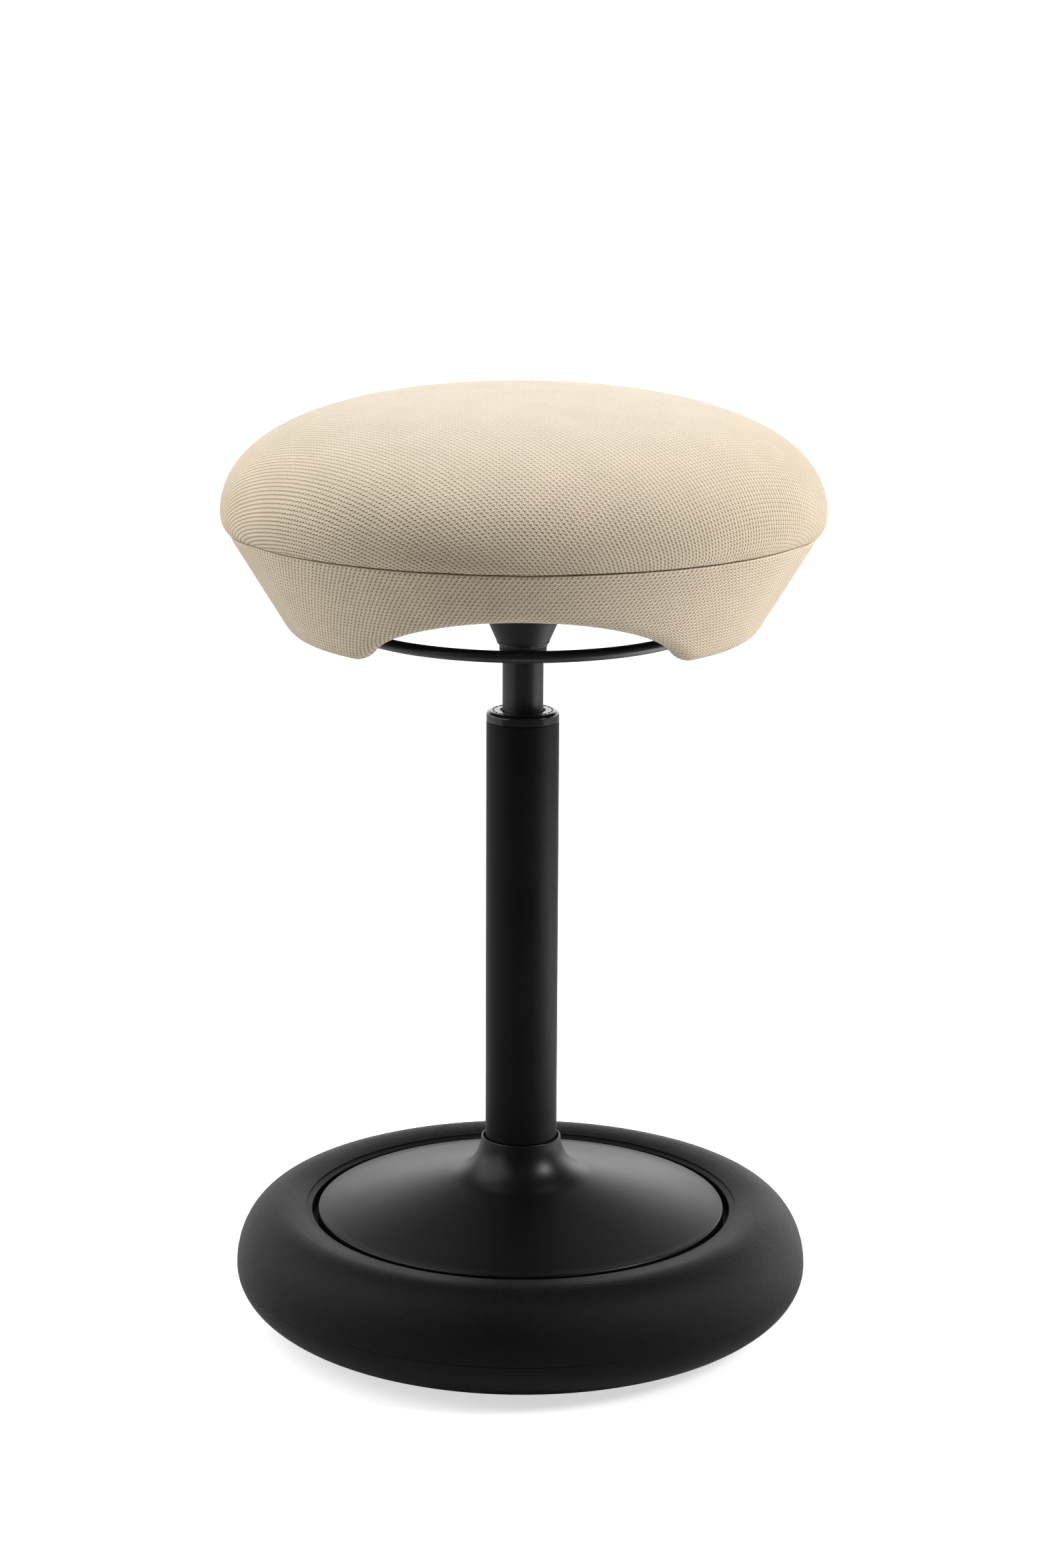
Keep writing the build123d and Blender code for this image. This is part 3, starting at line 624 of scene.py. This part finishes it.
def cover():
    """Spun trumpet: a collar round the tube, a neck that flares into a shallow cone, and a rim turned down."""
    wall, bore = COVER_WALL, COLLAR_RADIUS - COVER_WALL
    flare = (50.0, 102.8)    # where the neck has turned out to the cone
    fold = RIM_RADIUS - wall
    bow = 0.55 * wall        # handles of the rim's quarter round
    lip = 1.07               # handles of the collar's half round

    def trumpet(inset):
        """Bezier spans of the neck and the cone: the outer face, or the inner one drawn in by the wall."""
        radius, height = flare[0] - 0.6 * inset, flare[1] - inset
        return (
            (
                (COLLAR_RADIUS - inset, COLLAR_TOP),
                (COLLAR_RADIUS + 1.5 - inset, COLLAR_TOP - 18.0),
                (radius - 8.7, height + 2.4),
                (radius, height),
            ),
            ((radius, height), (80.0, height - 7.6), (112.0, height - 15.6), (fold, RIM_TOP - inset)),
        )

    rim = ((fold, RIM_TOP), (fold + bow, RIM_TOP), (RIM_RADIUS, RIM_TOP - wall + bow), (RIM_RADIUS, RIM_TOP - wall))
    collar = (
        (bore, COLLAR_TOP),
        (bore, COLLAR_TOP + lip),
        (COLLAR_RADIUS, COLLAR_TOP + lip),
        (COLLAR_RADIUS, COLLAR_TOP),
    )
    outline = run_of(*trumpet(0.0), rim, points=18)
    outline += [Vector((RIM_RADIUS, 0.0, SHELF)), Vector((fold, 0.0, SHELF))]
    outline += reversed(run_of(*trumpet(wall), points=18))
    outline += run_of(collar, points=7)[1:-1]
    bm, _ = spun(outline, 240, True)
    return finished(bm, "cover", "base", COVER_BLACK, ("base_cover",))


def bush_ticks():
    """Raised dashes round the top of the guide bush."""
    bm = bmesh.new()
    count, radius = 26, 20.3
    width, length, height, shown = 0.7, 3.0, 0.4, 0.3
    for index in range(count):
        angle = 2 * pi * index / count
        made = bmesh.ops.create_cube(bm, size=1.0)["verts"]
        bmesh.ops.scale(bm, vec=(width * MM, length * MM, height * MM), verts=made)
        bmesh.ops.translate(bm, vec=(radius * MM, 0.0, (BUSH_TOP + shown - height / 2) * MM), verts=made)
        bmesh.ops.rotate(bm, cent=(0, 0, 0), matrix=Matrix.Rotation(angle, 3, "Z"), verts=made)
    bmesh.ops.bevel(
        bm, geom=bm.edges[:], offset=0.08 * MM, affect="EDGES", segments=1, profile=0.5, material=-1
    )
    return finished(bm, "bush_ticks", "base", PANEL_BLACK, smooth=False)


cushion()
skirt()
weld()
cover()
bush_ticks()


# Floor, light and camera

def floor_finish():
    """Matte floor that takes the shadow; to the camera it glows up to white away from the foot."""
    albedo, near_glow = 0.74, 0.62
    material = bpy.data.materials.new("pale floor")
    material.use_nodes = True
    material.node_tree.nodes.clear()
    bench = Bench(material.node_tree)
    matte = bench.add("ShaderNodeBsdfDiffuse")
    matte.inputs["Color"].default_value = rgb(albedo, albedo, albedo)
    glow = bench.add("ShaderNodeEmission")
    path = bench.add("ShaderNodeLightPath")
    place = bench.place()
    away = bench.add("ShaderNodeVectorMath", operation="LENGTH")
    bench.feed(away.inputs[0], place)
    far = bench.steps(away.outputs["Value"], 0.17, 0.28, near_glow, 1.0)
    bench.feed(glow.inputs["Strength"], bench.math("MULTIPLY", path.outputs["Is Camera Ray"], far))
    both = bench.add("ShaderNodeAddShader")
    bench.feed(both.inputs[0], matte.outputs[0])
    bench.feed(both.inputs[1], glow.outputs[0])
    out = bench.add("ShaderNodeOutputMaterial")
    bench.feed(out.inputs["Surface"], both.outputs[0])
    return material


def floor():
    """Wide sheet under the foot that runs far back."""
    half_width, half_depth, centre = 6.0, 3.3, 2.6
    bm = bmesh.new()
    bmesh.ops.create_grid(bm, x_segments=1, y_segments=1, size=1.0)
    bmesh.ops.scale(bm, vec=(half_width, half_depth, 1.0), verts=bm.verts)
    bmesh.ops.translate(bm, vec=(0.0, centre, 0.0), verts=bm.verts)
    mesh = bpy.data.meshes.new("floor")
    bm.to_mesh(mesh)
    bm.free()
    mesh.materials.append(floor_finish())
    piece = bpy.data.objects.new("floor", mesh)
    scene.collection.objects.link(piece)


def surround():
    """White to the camera; to the object a pale wall behind, brighter to the right, and a dim room in front."""
    high, left, right, room = 0.06, 1.25, 2.8, 0.085
    world = bpy.data.worlds.new("studio")
    scene.world = world
    world.use_nodes = True
    bench = Bench(world.node_tree)
    back = world.node_tree.nodes["Background"]
    path = bench.add("ShaderNodeLightPath")
    way = bench.add("ShaderNodeSeparateXYZ")
    bench.feed(way.inputs[0], bench.add("ShaderNodeTexCoord").outputs["Generated"])
    behind = bench.steps(way.outputs[1], -0.2, 0.75)
    low = bench.steps(way.outputs[2], 0.22, 0.5, 1.0, high)
    sides = bench.steps(way.outputs[0], -1.0, 1.0, left, right)
    wall = bench.math("MAXIMUM", bench.math("MULTIPLY", bench.math("MULTIPLY", behind, low), sides), room)
    seen = bench.math("MAXIMUM", wall, path.outputs["Is Camera Ray"])
    bench.feed(back.inputs["Strength"], seen)
    back.inputs["Color"].default_value = rgb(1, 1, 1)


def lamp(name, place, aim, width, height, power, spread=180.0):
    """Flat lamp at a place, turned to its aim; metres, watts and degrees."""
    light = bpy.data.lights.new(name, "AREA")
    light.shape = "RECTANGLE"
    light.size = width
    light.size_y = height
    light.energy = power
    light.spread = radians(spread)
    holder = bpy.data.objects.new(name, light)
    holder.location = place
    holder.rotation_euler = (Vector(aim) - Vector(place)).to_track_quat("-Z", "Y").to_euler()
    scene.collection.objects.link(holder)


def camera():
    """Long lens in front, a little above the seat and tilted down, as fitted to the photograph."""
    tilt, roll = 13.244, 0.258
    lens = bpy.data.cameras.new("camera")
    lens.sensor_width = 36.0
    lens.lens = 82.26
    lens.clip_end = 60.0
    holder = bpy.data.objects.new("camera", lens)
    holder.location = (0.0, -2.3926, 0.947)
    holder.rotation_mode = "ZYX"
    holder.rotation_euler = (radians(90.0 - tilt), 0.0, radians(roll))
    scene.collection.objects.link(holder)
    scene.camera = holder


floor()
surround()
lamp("overhead", (0.0, 0.35, 2.1), (0.0, 0.05, 0.6), 1.5, 1.1, 19.5)
lamp("left wall", (-1.7, -0.2, 1.45), (0.0, 0.0, 0.6), 2.8, 2.2, 45.0)
lamp("front box", (1.8, -0.75, 1.5), (0.0, 0.0, 0.4), 0.7, 0.7, 37.0)
lamp("floor wash", (1.0, 0.0, 0.45), (1.0, 0.001, 0.0), 0.8, 0.8, 12.0, 80.0)
camera()

scene.view_settings.view_transform = "Standard"
